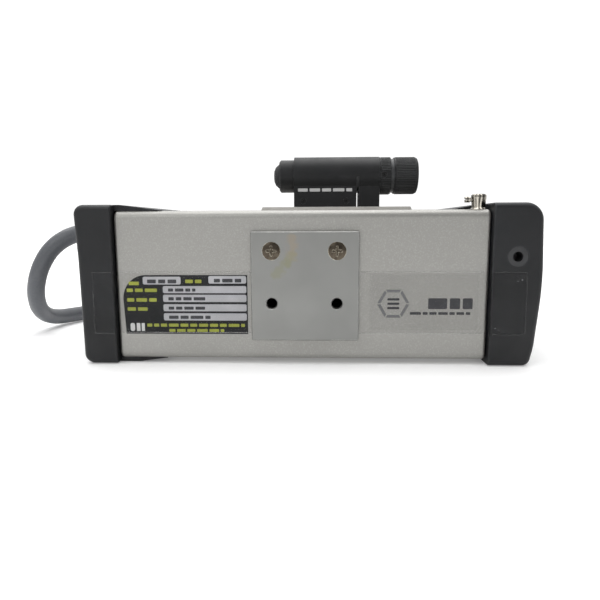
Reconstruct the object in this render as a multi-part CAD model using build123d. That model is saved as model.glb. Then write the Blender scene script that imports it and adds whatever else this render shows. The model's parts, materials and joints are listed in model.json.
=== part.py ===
"""Box-shaped laser speed and distance sensor with an aiming pointer on top and a lead at the back.

Millimetres. +X is the way the optics look, +Z is up, Z = 0 is the surface the box stands on.
The origin is under the middle of the box.
"""

import math
import os

from build123d import *

# --- driving dimensions -------------------------------------------------------------------------
LENGTH = 200.0
WIDTH = 130.0
HEIGHT = 69.4
MID_Z = 34.3  # middle of the tube and the optics

TUBE_REAR = -83.3
TUBE_FRONT = 77.6
TUBE_WIDTH = 124.6
TUBE_HEIGHT = 64.9
TUBE_WALL = 2.5
TUBE_CORNER = 3.2
TUBE_END_ROUND = 1.3
TUBE_SIDE = TUBE_WIDTH / 2
TUBE_TOP = MID_Z + TUBE_HEIGHT / 2

JOINT_GAP = 0.4  # dark line between a bumper and the tube
BUMPER_EDGE = 2.2
BUMPER_JOINT_EDGE = 0.7
RECESS_WIDTH = 104.0
RECESS_HEIGHT = 56.0
RECESS_CORNER = 6.0
RAMP_HALF_WIDTH = 60.0
RAMP_TIP = 0.12  # thickness of a ramp where it ends
SKIN_GAP = 0.05  # between a ramp and the tube

GASKET = 0.8
PANEL = 4.0
PANEL_WIDTH = 118.0
PANEL_HEIGHT = 58.0
PANEL_CORNER = 5.0
PANEL_CLEAR = 0.3
PORT_Y = 46.0
PORT_Z = 24.5  # above and below the middle
PORT_RADIUS = 3.6
M3_HOLE = 1.55
M3 = 1.5

RX_Y = -23.0
RX_RADIUS = 25.0
TX_Y = 30.0
TX_RADIUS = 17.5
BARREL_WALL = 1.8
BARREL_BACK = 20.0
BARREL_PROUD = 2.0

PLATE = (-23.9, 22.5, 10.7, 57.8)  # X from, X to, Z from, Z to
PLATE_THICK = 2.0
PLATE_EDGE = 0.35  # bevel of its front edges and its free holes
SCREW_CROWN = 0.65  # how far the plate's screw heads stand out of it
PLATE_HOLES_X = (-15.0, 13.1)
PLATE_SCREWS_Z = 49.5
PLATE_FREE_Z = 26.9
FREE_HOLE = 2.35
M4 = 1.95
M4_HEAD = 3.9
FIT = 0.05  # radial gap round a screw in its hole

LABEL_THICK = 0.08
RATING_LABEL = (-80.6, -25.7, 13.0, 39.1)  # X from, X to, Z from, Z to
MAKER_LABEL = (27.2, 73.6, 15.3, 39.3)
FILM_THICK = 0.1
FILM = (13.6, 40.6)  # Z from, Z to
FILM_END = 93.0

BUSH_X = 88.5
BUSH_Z = 47.0
BUSH_OUTER = 4.2
BUSH_BORE = 2.1
BUSH_DEPTH = 9.0

GLAND_Z = 57.8
CORD_RADIUS = 4.5
BOOT_END = -109.0
COIL_X = -40.0
COIL_Y = 130.0
COIL_RADII = (45.0, 54.0)
COIL_LIFT = 0.6  # the thickness of the ties under it
TIE_WIDTH = 12.0
PLUG_X = 52.0
PLUG_Y = 81.5
PLUG_Z = 8.3

# middle of the lead, from the strain boot down to the surface and behind the box
LEAD_ROUTE = [
    (BOOT_END, 0, GLAND_Z),
    (-121, -2.5, 57.5),
    (-131, -6, 54.5),
    (-138.5, -8.5, 48.5),
    (-144, -9.5, 40),
    (-148, -8.5, 30.5),
    (-151, -4.5, 21.5),
    (-153.2, 2.5, 14),
    (-154.4, 13, 8.5),
    (-154, 26, 5.5),
    (-150.5, 40, 4.8),
    (-143, 54, 4.6),
    (-130, 66, 4.6),
    (-110, 74.3, 4.8),
    (-84, 77.5, 5),
    (-58, 76, 5.1),
]
# and from the top of the coil to the plug
PLUG_ROUTE = [
    (-34, 76, 14.1),
    (-14, 76.6, 12.6),
    (6, 78.6, 7.4),
    (26, 80.6, 5.2),
    (40, 81.3, 7.3),
    (PLUG_X, PLUG_Y, PLUG_Z),
]

ADAPTER = (-25.4, 52.8)
ADAPTER_HALF = 12.0
ADAPTER_THICK = 2.8
ADAPTER_TOP = TUBE_TOP + ADAPTER_THICK
RAIL = (-6.0, 22.0)
RAIL_HALF = 3.0
RAIL_TOP = 74.0

POINTER_Z = 85.8
CLAMP = (-8.1, 36.1)
CLAMP_RADIUS = 9.8
CLAMP_FOOT_HALF = 8.0
CLAMP_SLOT_X = 24.9
CLAMP_SLOT = 1.3
CLAMP_SLOT_TOP = 84.8
CLAMP_SCREWS_X = (-3.2, 19.0)
CLAMP_SCREWS_Z = 72.7
POINTER_BARREL = 8.7
POINTER_BORE = 7.0
POINTER_FRONT = 49.8
RUNNING = 0.05  # radial clearance of a running fit
RING = (36.4, 42.0)
RING_RADIUS = 9.5
ADJUST_X = 38.2
HEAD = (43.6, 56.0)
HEAD_RADIUS = 9.35
TAIL = -15.9
TAIL_RADIUS = 8.4
BUTTON_TIP = -18.8
BUTTON_RADIUS = 6.3
MODULE = (16.0, 40.0)
MODULE_RADIUS = 5.6
PIVOT_X = 20.0

POST_X = 73.6
POST_Y = -56.0
POST_RADIUS = 3.2
POST_TOP = 73.2
POST_SCREW_Z = 70.9


# --- helpers ------------------------------------------------------------------------------------
def save(name, shape):
    export_step(shape, f"parts/{name}.step")


def block(x, y, z):
    """A box from its lowest and highest value on each axis."""
    middle = Pos((x[0] + x[1]) / 2, (y[0] + y[1]) / 2, (z[0] + z[1]) / 2)
    return middle * Box(x[1] - x[0], y[1] - y[0], z[1] - z[0])


def along_x(x, y, z):
    return Pos(x, y, z)


def along_minus_y(x, y, z):
    return Pos(x, y, z) * Rot(0, 0, -90)


def along_z(x, y, z):
    return Pos(x, y, z) * Rot(0, -90, 0)


def turned(outline, place):
    """A turned piece from (distance along its axis, radius) corners."""
    face = make_face(Polyline(*[(a, r) for a, r in outline], close=True))
    return place * revolve(face, Axis.X)


def rod(start, end, radius, place):
    return turned([(start, 0), (end, 0), (end, radius), (start, radius)], place)


def pipe(start, end, inner, outer, place):
    return turned([(start, inner), (end, inner), (end, outer), (start, outer)], place)


def slab(x, width, height, corner, middle_z=MID_Z):
    """A rounded rectangle in YZ, run along X."""
    outline = Plane.YZ.offset(x[0]) * Pos(0, middle_z) * RectangleRounded(width, height, corner)
    return extrude(outline, amount=x[1] - x[0])


def side_profile(points, radii, half_width):
    """An XZ outline with rounded corners, run both ways along Y."""
    outline = FilletPolyline(*points, radius=radii, close=True)
    return extrude(Plane.XZ * make_face(outline), amount=half_width, both=True)


def hexagon(start, end, across_flats, place):
    outline = Plane.YZ.offset(start) * RegularPolygon(across_flats / 2, 6, major_radius=False)
    return place * extrude(outline, amount=end - start)


def port_places():
    return [(y, MID_Z + z) for y in (-PORT_Y, PORT_Y) for z in (-PORT_Z, PORT_Z)]


def plate_places():
    screws = [(x, PLATE_SCREWS_Z) for x in PLATE_HOLES_X]
    free = [(x, PLATE_FREE_Z) for x in PLATE_HOLES_X]
    return screws, free


def cross(depth, reach, width):
    """A cross recess that goes in from distance 0 along +X."""
    arm = (-width / 2, width / 2)
    long_arm = (-reach, reach)
    return block((-1, depth), long_arm, arm) + block((-1, depth), arm, long_arm)


# --- housing ------------------------------------------------------------------------------------
def housing_tube():
    outer = slab((TUBE_REAR, TUBE_FRONT), TUBE_WIDTH, TUBE_HEIGHT, TUBE_CORNER)
    outer = fillet(outer.faces().sort_by(Axis.X)[0].edges(), TUBE_END_ROUND)
    outer = fillet(outer.faces().sort_by(Axis.X)[-1].edges(), TUBE_END_ROUND)
    inside = slab(
        (TUBE_REAR - 1, TUBE_FRONT + 1),
        TUBE_WIDTH - 2 * TUBE_WALL,
        TUBE_HEIGHT - 2 * TUBE_WALL,
        TUBE_CORNER - TUBE_WALL + 0.8,
    )
    tube = outer - inside
    for y, z in port_places():
        wall_z = TUBE_TOP - TUBE_WALL if z > MID_Z else MID_Z - TUBE_HEIGHT / 2 + TUBE_WALL
        port = rod(TUBE_REAR, TUBE_FRONT, PORT_RADIUS, along_x(0, y, z))
        web = block((TUBE_REAR, TUBE_FRONT), (y - 2, y + 2), sorted((z, wall_z)))
        tube = tube + port + web
    for y, z in port_places():
        tube = tube - rod(TUBE_REAR - 1, TUBE_FRONT + 1, M3_HOLE, along_x(0, y, z))
    screws, free = plate_places()
    for places, radius in ((screws, M4 + FIT), (free, FREE_HOLE)):
        for x, z in places:
            tube = tube - rod(-1, TUBE_WALL + 2, radius, along_minus_y(x, 3 - TUBE_SIDE, z))
    return tube


def bumper_shell(profile, radii):
    """A bumper's outer form, with the edges of its two side faces rounded."""
    shell = side_profile(profile, radii, WIDTH / 2)
    joint_x = min((point[0] for point in profile), key=abs)
    side_edges = ShapeList(
        shell.faces().sort_by(Axis.Y)[0].edges() + shell.faces().sort_by(Axis.Y)[-1].edges()
    )
    away = side_edges.filter_by(lambda edge: abs(edge.center().X - joint_x) >= 0.01)
    shell = fillet(away, BUMPER_EDGE)
    left = shell.edges().filter_by(Axis.Z)
    at_joint = left.filter_by(
        lambda edge: abs(edge.center().X - joint_x) < 0.01 and abs(edge.center().Y) > WIDTH / 2 - 3
    )
    return fillet(at_joint, BUMPER_JOINT_EDGE)


def recess(direction, panel_face):
    """The opening through a bumper and the pocket that fits round the panel's rim."""
    reach = LENGTH / 2 + 2
    opening = slab(sorted((panel_face, direction * reach)), RECESS_WIDTH, RECESS_HEIGHT, RECESS_CORNER)
    joint = panel_face - direction * (PANEL + GASKET + 2)
    rim = slab(
        sorted((joint, panel_face + direction * 0.2)),
        PANEL_WIDTH + 2 * PANEL_CLEAR,
        PANEL_HEIGHT + 2 * PANEL_CLEAR,
        PANEL_CORNER,
    )
    return opening + rim


def ramps(joint_x, crest_x, tip_x, y):
    """The two wedges that run out over the tube's top and under its bottom."""
    over = TUBE_TOP + SKIN_GAP
    wedge = [(joint_x, over), (tip_x, over), (tip_x, over + RAMP_TIP), (crest_x, HEIGHT), (joint_x, HEIGHT)]
    outline = make_face(Polyline(*wedge, close=True))
    upper = Pos(0, y[1], 0) * extrude(Plane.XZ * outline, amount=y[1] - y[0])
    lower = mirror(upper, Plane.XY.offset(MID_Z)) & block((-LENGTH, LENGTH), y, (0, MID_Z))
    return upper + lower


def front_bumper():
    joint = TUBE_FRONT + JOINT_GAP
    profile = [(joint, 0), (95.6, 0), (97.4, 8), (99.9, 35), (98.4, HEIGHT), (joint, HEIGHT)]
    shell = bumper_shell(profile, [0, 3.4, 20, 150, 7.5, 0])
    shell = shell + ramps(joint + 2, joint - 1.2, 63.5, (POST_Y + 6.6, RAMP_HALF_WIDTH))
    shell = shell - recess(1, TUBE_FRONT + GASKET + PANEL)
    bush = rod(0, BUSH_DEPTH + 0.5, BUSH_OUTER, along_minus_y(BUSH_X, BUSH_DEPTH - WIDTH / 2, BUSH_Z))
    return shell - bush


def rear_bumper():
    joint = TUBE_REAR - JOINT_GAP
    profile = [(joint, HEIGHT), (-100.3, HEIGHT), (-99.2, 46), (-98.7, 0), (joint, 0)]
    shell = bumper_shell(profile, [0, 4.2, 60, 4.2, 0])
    shell = shell + ramps(joint - 2, joint + 2.5, -62.6, (-RAMP_HALF_WIDTH, RAMP_HALF_WIDTH))
    shell = shell - recess(-1, TUBE_REAR - GASKET - PANEL)
    return shell - rod(-102, TUBE_REAR - GASKET, 9.0, along_x(0, 0, GLAND_Z))


def bumper_bush():
    place = along_minus_y(BUSH_X, BUSH_DEPTH - WIDTH / 2, BUSH_Z)
    ring = rod(0, BUSH_DEPTH - 0.15, BUSH_OUTER, place)
    return ring - rod(1, BUSH_DEPTH + 1, BUSH_BORE, place)


def panel(x, holes):
    plate = slab(x, PANEL_WIDTH, PANEL_HEIGHT, PANEL_CORNER)
    for y, z in port_places():
        plate = plate - rod(x[0] - 1, x[1] + 1, M3_HOLE, along_x(0, y, z))
    for y, z, radius in holes:
        plate = plate - rod(x[0] - 1, x[1] + 1, radius, along_x(0, y, z))
    return plate


def gasket(x):
    ring = slab(x, PANEL_WIDTH, PANEL_HEIGHT, PANEL_CORNER)
    ring = ring - slab((x[0] - 1, x[1] + 1), PANEL_WIDTH - 6, PANEL_HEIGHT - 2.4, PANEL_CORNER - 1)
    return ring


def panel_screws(face, direction):
    """Four socket screws through a panel into the tube's ports."""
    screws = []
    turn = Rot(0, 0, 0) if direction > 0 else Rot(0, 0, 180)
    for y, z in port_places():
        place = Pos(face, y, z) * turn
        head = rod(0, 2.6, 2.7, place) - hexagon(1.2, 3, 2.5, place)
        screws.append(head + rod(-14, 0, M3, place))
    return screws


# --- optics -------------------------------------------------------------------------------------
def optic(y, radius):
    """Barrel, lens and retaining ring of one channel."""
    place = along_x(0, y, MID_Z)
    face = TUBE_FRONT + GASKET + PANEL
    mouth = face + BARREL_PROUD
    inner = radius - BARREL_WALL
    seat = face - 7
    barrel = turned(
        [
            (BARREL_BACK, 3.2),
            (BARREL_BACK + 3, 3.2),
            (BARREL_BACK + 3, inner - 4),
            (seat, inner - 1.2),
            (seat, inner),
            (mouth, inner),
            (mouth, radius),
            (TUBE_FRONT - 0.1, radius),
            (TUBE_FRONT - 0.1, radius - 0.2),
            (BARREL_BACK + 14, radius - 1.2),
            (BARREL_BACK, radius - 8),
        ],
        place,
    )
    lens_radius = inner - 0.05
    rim = seat + 3.2
    sag = lens_radius * 0.09
    ball = (lens_radius**2 + sag**2) / (2 * sag)
    lens = rod(seat, rim + sag, lens_radius, place) & (place * Pos(rim + sag - ball, 0, 0) * Sphere(ball))
    ring = pipe(rim + 0.5, mouth - 0.6, inner - 2.0, lens_radius, place)
    slots = [block((mouth - 1.6, mouth), (-1, 1), sorted((s * (inner - 3), s * inner))) for s in (-1, 1)]
    for slot in slots:
        ring = ring - place * slot
    return barrel, lens, ring


def sensor_board(y, half):
    """The small board on the back of a barrel, with its device in a can."""
    place = along_x(0, y, MID_Z)
    board = block((BARREL_BACK - 1.8, BARREL_BACK - 0.2), (y - half, y + half), (MID_Z - half, MID_Z + half))
    return board + rod(BARREL_BACK - 0.3, BARREL_BACK + 4, 2.7, place)


# --- inside -------------------------------------------------------------------------------------
CHASSIS_Z = (7.2, 8.8)
MAIN_Z = (16.8, 18.4)
POWER_Z = (29.0, 30.6)
STACK = [(x, y) for x in (-64.0, 2.0) for y in (-32.0, 32.0)]


def board(x, y, z, hole, chips):
    """A circuit board with its mounting holes and its larger devices."""
    plate = block(x, y, z)
    for hx, hy in STACK:
        plate = plate - rod(z[0] - 1, z[1] + 1, hole, along_z(hx, hy, 0))
    for cx, cy, length, width, height in chips:
        top = (z[1] - 0.05, z[1] + height)
        plate = plate + block((cx - length / 2, cx + length / 2), (cy - width / 2, cy + width / 2), top)
    return plate


def chassis_plate():
    plate = block((-78, 72), (-40, 40), CHASSIS_Z)
    for x, y in STACK:
        plate = plate - rod(CHASSIS_Z[0] - 1, CHASSIS_Z[1] + 1, 1.2, along_z(x, y, 0))
    return plate


def board_standoffs():
    """Four standoffs under the main board and four spacers between the two boards."""
    tubes = []
    for x, y in STACK:
        tubes.append(pipe(CHASSIS_Z[1], MAIN_Z[0], 1.25, 3.0, along_z(x, y, 0)))
        tubes.append(pipe(MAIN_Z[1], POWER_Z[0], 1.3, 2.8, along_z(x, y, 0)))
    return Compound(children=tubes)


def board_screws():
    screws = []
    for x, y in STACK:
        shank = rod(CHASSIS_Z[1] + 1, POWER_Z[1], 1.15, along_z(x, y, 0))
        screws.append(shank + rod(POWER_Z[1], POWER_Z[1] + 1.8, 2.6, along_z(x, y, 0)))
    return Compound(children=screws)


def signal_ribbon():
    """Flat ribbon from the main board up to the receiver's board."""
    path = [(-2, MAIN_Z[1]), (9, MAIN_Z[1]), (16, 26), (16, 40)]
    back = [(x - 0.9, z + 0.9) for x, z in reversed(path)]
    outline = make_face(Polyline(*path, *back, close=True))
    return Pos(0, -8, 0) * extrude(Plane.XZ * outline, amount=16)


def inner_lead():
    """The lead's stripped tail, from the gland down to the power board's terminals."""
    path = FilletPolyline((-83.2, 0, GLAND_Z), (-64, 0, GLAND_Z), (-54, 0, 48), (-54, 0, 36.7), radius=[9, 9])
    tail = sweep(Plane(origin=path @ 0, z_dir=path % 0) * Circle(2.6), path=path)
    return tail


# --- cable entry --------------------------------------------------------------------------------
PANEL_BACK = TUBE_REAR - GASKET - PANEL


def gland_place():
    """Distances run from the rear panel's outer face, away from the box."""
    return Pos(PANEL_BACK, 0, GLAND_Z) * Rot(0, 0, 180)


def gland_body():
    place = gland_place()
    body = hexagon(0, 2.4, 14.6, place) + rod(-PANEL, 5.4, 6.0, place)
    body = body - rod(-PANEL - 1, 7, 4.95, place)
    return body - rod(3.0, 7, 5.5, place)


def gland_seal():
    return pipe(3.1, 5.6, 4.86, 5.45, gland_place())


def gland_nut():
    place = gland_place()
    nut = hexagon(2.5, 6.6, 14.6, place) + turned([(6.6, 0), (8.0, 0), (8.0, 6.0), (6.6, 7.2)], place)
    nut = nut - rod(2, 5.7, 6.05, place)
    return nut - rod(2, 9, 4.95, place)


def strain_boot():
    """Tapered boot with grooves, moulded onto the lead."""
    place = gland_place()
    tip = PANEL_BACK - BOOT_END
    outline = [(-PANEL, 0), (-PANEL, 4.8), (8.1, 4.8), (8.1, 6.6), (9.6, 6.6)]
    groove, first, last = 1.0, 9.6, tip - 1.6
    count = 4
    pitch = (last - first) / count
    for i in range(count):
        start = first + i * pitch
        radius = 6.4 - 0.3 * i
        outline += [(start, radius - 0.7), (start + groove, radius - 0.7), (start + groove, radius)]
        outline += [(start + pitch, radius - 0.25)]
    outline += [(tip, 4.75), (tip, 0)]
    return turned(outline, place)


# --- lead ---------------------------------------------------------------------------------------
def tube_radii(points):
    """Each corner's arc: 0.45 of its shorter run, divided by the tangent of half its turn."""
    radii = []
    for before, here, after in zip(points, points[1:], points[2:]):
        run_in = Vector(*here) - Vector(*before)
        run_out = Vector(*after) - Vector(*here)
        half_turn = math.radians(run_in.get_angle(run_out)) / 2
        radii.append(0.45 * min(run_in.length, run_out.length) / math.tan(half_turn))
    return radii


def lead_tube(name, points):
    radii = tube_radii(points)
    path = FilletPolyline(*points, radius=radii)
    tube = sweep(Plane(origin=path @ 0, z_dir=path % 0) * Circle(CORD_RADIUS), path=path)
    section = math.pi * CORD_RADIUS**2
    print(name, "arc radii:", [round(r, 1) for r in radii])
    share = tube.volume / section / path.length
    print(name, "length", round(path.length, 1), "volume/expected", round(share, 4))
    return tube


def coil_band(offset, angle=360.0):
    """The coil's outer form, grown by offset, round part of a circle."""
    reach = CORD_RADIUS + 0.1 + offset
    low, high = COIL_LIFT - offset, COIL_LIFT + 4 * CORD_RADIUS + 0.1 + offset
    middle = (COIL_RADII[0] + COIL_RADII[1]) / 2
    half = (COIL_RADII[1] - COIL_RADII[0]) / 2 + reach
    section = Plane.XZ * Pos(middle, (low + high) / 2) * RectangleRounded(2 * half, high - low, 4.0 + offset)
    return Pos(COIL_X, COIL_Y, 0) * Rot(0, 0, -angle / 2) * revolve(section, Axis.Z, angle)


def cable_ties():
    angle = math.degrees(TIE_WIDTH / COIL_RADII[1])
    band = coil_band(COIL_LIFT, angle) - coil_band(0.0)
    turns = [Pos(COIL_X, COIL_Y, 0) * Rot(0, 0, a) * Pos(-COIL_X, -COIL_Y, 0) for a in (35, 180)]
    return Compound(children=[turn * band for turn in turns])


def plug_place():
    return along_x(PLUG_X, PLUG_Y, PLUG_Z)


def plug_shell():
    outline = [(0, 0), (0, 5.2), (3, 5.8), (13, 6.6), (13, 7.3), (17, 7.3), (17, 6.6), (27, 6.6), (27, 5.7)]
    return turned(outline + [(18, 5.7), (18, 0)], plug_place())


def plug_insert():
    return rod(18, 25.5, 5.65, plug_place())


def plug_pins():
    pins = []
    for i in range(5):
        angle = 2 * math.pi * i / 5
        place = plug_place() * Pos(0, 3 * math.cos(angle), 3 * math.sin(angle))
        pins.append(rod(25.5, 30.0, 0.5, place))
    return Compound(children=pins)


def coupling_ring():
    place = plug_place()
    ring = pipe(17.1, 32, 6.6 + RUNNING, 8.2, place)
    for i in range(24):
        notch = Pos(0, 8.35, 0) * Rot(0, 90, 0) * Cylinder(0.45, 9)
        ring = ring - place * Pos(24, 0, 0) * Rot(15 * i, 0, 0) * notch
    return ring


# --- side plate, labels and films ----------------------------------------------------------------
def mounting_plate():
    x, z = PLATE[:2], PLATE[2:]
    plate = block(x, (-TUBE_SIDE - PLATE_THICK, -TUBE_SIDE), z)
    plate = fillet(plate.edges().filter_by(Axis.Y), 0.8)
    plate = chamfer(plate.faces().sort_by(Axis.Y)[0].edges(), PLATE_EDGE)
    screws, free = plate_places()
    for px, pz in screws:
        plate = plate - turned(screw_seat(), along_minus_y(px, -TUBE_SIDE, pz))
    rim = FREE_HOLE + PLATE_EDGE
    land = PLATE_THICK - PLATE_EDGE
    hole = [(-1, 0), (-1, FREE_HOLE), (land, FREE_HOLE), (PLATE_THICK, rim), (3, rim), (3, 0)]
    for px, pz in free:
        plate = plate - turned(hole, along_minus_y(px, -TUBE_SIDE, pz))
    return plate


def screw_seat():
    """The countersunk hole's half outline; distance 0 is the plate's back, PLATE_THICK its face."""
    shank = M4 + FIT
    rim = M4_HEAD + FIT
    over = PLATE_THICK + 1
    return [(-1, 0), (-1, shank), (0.3, shank), (PLATE_THICK - 0.25, rim), (over, rim), (over, 0)]


def plate_screws():
    """Raised countersunk screws with a cross recess."""
    rim = PLATE_THICK + 0.1
    crown = PLATE_THICK + SCREW_CROWN
    ball = (M4_HEAD**2 + (crown - rim) ** 2) / (2 * (crown - rim))
    screws = []
    for x, z in plate_places()[0]:
        place = along_minus_y(x, -TUBE_SIDE, z)
        outline = [(-6, 0), (-6, M4), (0.3, M4), (PLATE_THICK - 0.25, M4_HEAD)]
        outline += [(crown, M4_HEAD), (crown, 0)]
        screw = turned(outline, place) & (place * Pos(crown - ball, 0, 0) * Sphere(ball))
        screws.append(screw - place * Pos(crown, 0, 0) * Rot(0, 0, 180) * cross(1.5, 2.1, 0.85))
    return Compound(children=screws)


def label(x, z):
    return block(x, (-TUBE_SIDE - LABEL_THICK, -TUBE_SIDE), z)


def film(inner_x, tube_x, bumper_x, outer_x):
    """Clear film that lies on the tube and steps up onto a bumper."""
    on_tube = -TUBE_SIDE - LABEL_THICK - 0.02
    on_bumper = -WIDTH / 2 - 0.02
    near = [(inner_x, on_tube), (tube_x, on_tube), (bumper_x, on_bumper), (outer_x, on_bumper)]
    far = [(x, y - FILM_THICK) for x, y in reversed(near)]
    outline = make_face(Polyline(*near, *far, close=True))
    return Pos(0, 0, FILM[0]) * extrude(outline, amount=FILM[1] - FILM[0])


# --- top ----------------------------------------------------------------------------------------
def adapter_plate():
    slope = 1.3
    profile = [(ADAPTER[0], TUBE_TOP), (ADAPTER[1], TUBE_TOP)]
    profile += [(ADAPTER[1] - slope, ADAPTER_TOP), (ADAPTER[0] + slope, ADAPTER_TOP)]
    outline = make_face(Polyline(*profile, close=True))
    strip = extrude(Plane.XZ * outline, amount=ADAPTER_HALF, both=True)
    strip = strip + block(RAIL, (-RAIL_HALF, RAIL_HALF), (ADAPTER_TOP - 0.1, RAIL_TOP))
    seat = [(-3, 0), (-3, 1.3), (-1.35, 1.3), (0.1, 2.75), (0.1, 0)]
    for x in adapter_screw_places():
        strip = strip - turned(seat, along_z(x, 0, ADAPTER_TOP))
    return strip


def adapter_screw_places():
    return (ADAPTER[0] + 6.4, ADAPTER[1] - 6.4)


def adapter_screws():
    """Countersunk screws whose tips are cut off flush with the underside of the strip."""
    screws = []
    for x in adapter_screw_places():
        place = along_z(x, 0, ADAPTER_TOP)
        outline = [(-1.5, 0), (-1.5, 1.28), (-1.36, 1.28), (-0.05, 2.55), (-0.05, 0)]
        recess_place = place * Pos(-0.05, 0, 0) * Rot(0, 0, 180)
        screws.append(turned(outline, place) - recess_place * cross(0.8, 1.5, 0.5))
    return Compound(children=screws)


def pointer_place():
    return along_x(0, 0, POINTER_Z)


def pointer_clamp():
    body = rod(CLAMP[0], CLAMP[1], CLAMP_RADIUS, pointer_place())
    foot = block(CLAMP, (-CLAMP_FOOT_HALF, CLAMP_FOOT_HALF), (ADAPTER_TOP, POINTER_Z))
    body = body + foot
    body = body - rod(CLAMP[0] - 1, CLAMP[1] + 1, POINTER_BARREL + 0.02, pointer_place())
    channel_half = RAIL_HALF + 0.1
    body = body - block((CLAMP[0] - 1, CLAMP_SLOT_X), (-channel_half, channel_half), (60, RAIL_TOP + 0.2))
    half = CLAMP_SLOT / 2
    body = body - block((CLAMP_SLOT_X - half, CLAMP_SLOT_X + half), (-20, 20), (60, CLAMP_SLOT_TOP))
    for x in CLAMP_SCREWS_X:
        body = body - rod(-10, 10, M3_HOLE, along_minus_y(x, -CLAMP_FOOT_HALF, CLAMP_SCREWS_Z))
    return body


def set_screw(length, place):
    """A socket set screw whose outer end is at distance 0 and whose tip is at -length."""
    screw = rod(-length, 0, M3, place)
    return screw - hexagon(-1.6, 1, 1.5, place)


def clamp_screw(index):
    place = along_minus_y(CLAMP_SCREWS_X[index], -CLAMP_FOOT_HALF + 0.4, CLAMP_SCREWS_Z)
    return set_screw(4.4, place)


def pointer_barrel():
    outline = [
        (-10.9, POINTER_BORE - 0.4),
        (-10.9, 7.35),
        (CLAMP[0], 7.35),
        (CLAMP[0], POINTER_BARREL),
        (POINTER_FRONT, POINTER_BARREL),
        (POINTER_FRONT, POINTER_BORE),
        (14.0, POINTER_BORE),
        (14.0, POINTER_BORE - 0.4),
    ]
    barrel = turned(outline, pointer_place())
    return barrel - adjust_holes()


def adjust_holes():
    side = rod(-20, -6, M3_HOLE, pointer_place() * Pos(ADJUST_X, 0, 0) * Rot(0, 0, 90))
    top = rod(6, 20, M3_HOLE, pointer_place() * Pos(ADJUST_X, 0, 0) * Rot(0, -90, 0))
    return side + top


def adjust_ring():
    ring = pipe(RING[0], RING[1], POINTER_BARREL + 0.02, RING_RADIUS, pointer_place())
    return ring - adjust_holes()


def adjust_screw(turn):
    return set_screw(3.3, pointer_place() * Pos(ADJUST_X, 0, 0) * turn * Pos(RING_RADIUS - 0.25, 0, 0))


def pointer_head():
    inner = POINTER_BARREL + RUNNING
    outline = [
        (HEAD[0], inner),
        (HEAD[0], HEAD_RADIUS - 0.3),
        (HEAD[0] + 0.3, HEAD_RADIUS),
        (HEAD[1] - 1.2, HEAD_RADIUS),
        (HEAD[1] - 0.35, HEAD_RADIUS - 0.5),
        (HEAD[1], HEAD_RADIUS - 1.3),
        (HEAD[1], 6.0),
        (52.4, 5.2),
        (52.4, 6.5),
        (50.1, 6.5),
        (50.1, inner),
    ]
    return turned(outline, pointer_place())


def tail_cap():
    outline = [
        (-8.35, 7.4),
        (-8.35, TAIL_RADIUS),
        (TAIL + 0.8, TAIL_RADIUS),
        (TAIL, TAIL_RADIUS - 0.9),
        (TAIL, BUTTON_RADIUS + 0.08),
        (-13.9, BUTTON_RADIUS + 0.08),
        (-13.9, 7.1),
        (-11.0, 7.1),
        (-11.0, 7.4),
    ]
    return turned(outline, pointer_place())


def tail_button():
    """Domed rubber button on a flange that the cap keeps in."""
    outline = [(-12.9, 0), (-12.9, 7.0), (-13.8, 7.0), (-13.8, BUTTON_RADIUS), (-16.2, BUTTON_RADIUS)]
    outline += [(-18.0, 4.7), (BUTTON_TIP, 2.8), (BUTTON_TIP, 0)]
    button = turned(outline, pointer_place())
    crown = button.edges().filter_by(GeomType.CIRCLE).filter_by(lambda edge: edge.center().X < -16)
    return fillet(crown, 0.7)


def spring(start, end, radius, wire, turns):
    """A compression spring along the pointer's axis."""
    span = end - start - 2 * wire
    path = Helix(pitch=span / turns, height=span, radius=radius)
    profile = Plane(origin=path @ 0, z_dir=path % 0) * Circle(wire)
    coil = sweep(profile, path=path, is_frenet=True)
    return pointer_place() * Pos(start + wire, 0, 0) * Rot(0, 90, 0) * coil


def coin_cells():
    cells = [rod(-9.0 + 5.4 * i, -9.0 + 5.4 * i + 5.35, 5.8, pointer_place()) for i in range(4)]
    return Compound(children=cells)


def laser_module():
    outline = [(MODULE[0], 0), (MODULE[0], MODULE_RADIUS - 0.4), (MODULE[0] + 0.4, MODULE_RADIUS)]
    outline += [(MODULE[1], MODULE_RADIUS), (MODULE[1], 4.3), (MODULE[1] - 3, 4.3), (MODULE[1] - 3, 0)]
    return turned(outline, pointer_place())


def pivot_ring():
    middle = (MODULE_RADIUS + POINTER_BORE) / 2
    section = Plane.XY * Pos(PIVOT_X, middle) * Circle((POINTER_BORE - MODULE_RADIUS) / 2 - 0.05)
    return pointer_place() * revolve(section, Axis.X)


def clamp_post():
    height = POST_TOP - TUBE_TOP
    outline = [(0, 0), (0, POST_RADIUS + 0.3), (0.8, POST_RADIUS - 0.4), (height - 1.4, POST_RADIUS)]
    outline += [(height - 0.5, POST_RADIUS), (height, POST_RADIUS - 0.6)]
    outline += [(height, 1.1), (2.0, 1.1), (2.0, 0)]
    post = turned(outline, along_z(POST_X, POST_Y, TUBE_TOP))
    return post - rod(0, 10, 0.95, Pos(POST_X, POST_Y, POST_SCREW_Z) * Rot(0, 0, 180))


def post_screw():
    """Slotted knurled screw that runs into the post's side."""
    place = Pos(POST_X, POST_Y, POST_SCREW_Z) * Rot(0, 0, 180)
    screw = rod(1.3, 4.0, 0.9, place) + rod(3.9, 5.9, 1.25, place)
    return screw - place * block((5.3, 7), (-2, 2), (-0.2, 0.2))


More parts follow.
